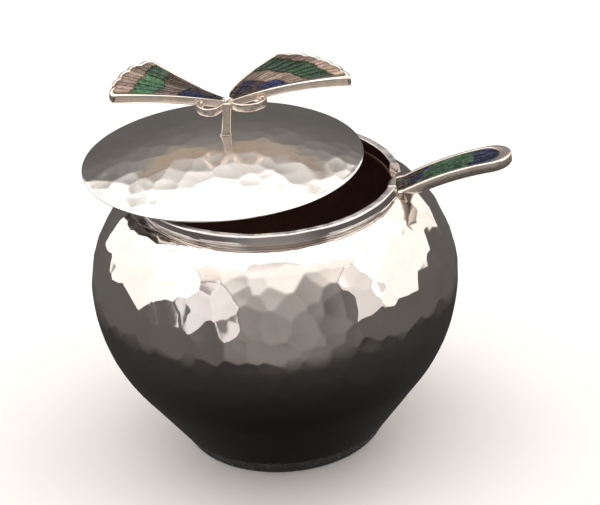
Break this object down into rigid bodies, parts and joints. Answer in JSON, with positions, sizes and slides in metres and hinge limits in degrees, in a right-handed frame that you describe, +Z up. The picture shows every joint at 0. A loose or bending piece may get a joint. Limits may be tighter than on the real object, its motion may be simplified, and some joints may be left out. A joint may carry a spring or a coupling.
{
  "type": "sugar bowl",
  "caption": "Hammered silver sugar bowl with a loose domed lid, a butterfly finial inlaid with stone and shell, and an inlaid spoon standing in a notch of its rim.",
  "frame": {"origin": "centre of the flat base, on the bowl's axis, in the plane it stands on", "axes": "+Z up along the bowl's axis; +X to the side the spoon's handle points to; -Y towards the viewer's side"},
  "size_m": [0.1279, 0.112, 0.1126],
  "materials": {
    "hammered_silver": "polished, hammered in facets",
    "polished_silver": "polished, lightly planished",
    "malachite_inlay": "polished green stone chips",
    "lapis_inlay": "polished dark blue stone",
    "shell_inlay": "polished pale shell in narrow strips",
    "brown_inlay": "polished dark brown stone"
  },
  "bodies": {
    "bowl": {"bowl_shell": "hammered_silver", "foot_base": "hammered_silver", "rim_collar": "hammered_silver"},
    "lid": {"lid_dome": "polished_silver", "lid_liner": "polished_silver", "finial_post": "polished_silver", "thorax_bar": "polished_silver", "wing_tray_right": "polished_silver", "inlay_blue_right": "lapis_inlay", "inlay_shell_inner_right": "shell_inlay", "inlay_green_right": "malachite_inlay", "inlay_shell_outer_right": "shell_inlay", "wing_tray_left": "polished_silver", "inlay_blue_left": "lapis_inlay", "inlay_shell_inner_left": "shell_inlay", "inlay_green_left": "malachite_inlay", "inlay_shell_outer_left": "shell_inlay", "antenna_right": "polished_silver", "antenna_left": "polished_silver"},
    "spoon": {"spoon_handle": "polished_silver", "spoon_inlay_root": "brown_inlay", "spoon_inlay_green": "malachite_inlay", "spoon_inlay_blue": "lapis_inlay", "spoon_shank": "polished_silver", "spoon_scoop": "polished_silver"}
  },
  "joints": [
    {"name": "lid_lift", "type": "slide", "parent": "bowl", "child": "lid", "axis": [0, 0, 1], "range_m": [0, 0.06]},
    {"name": "spoon_lift", "type": "slide", "parent": "bowl", "child": "spoon", "axis": [0, 0, 1], "range_m": [0, 0.12]}
  ]
}
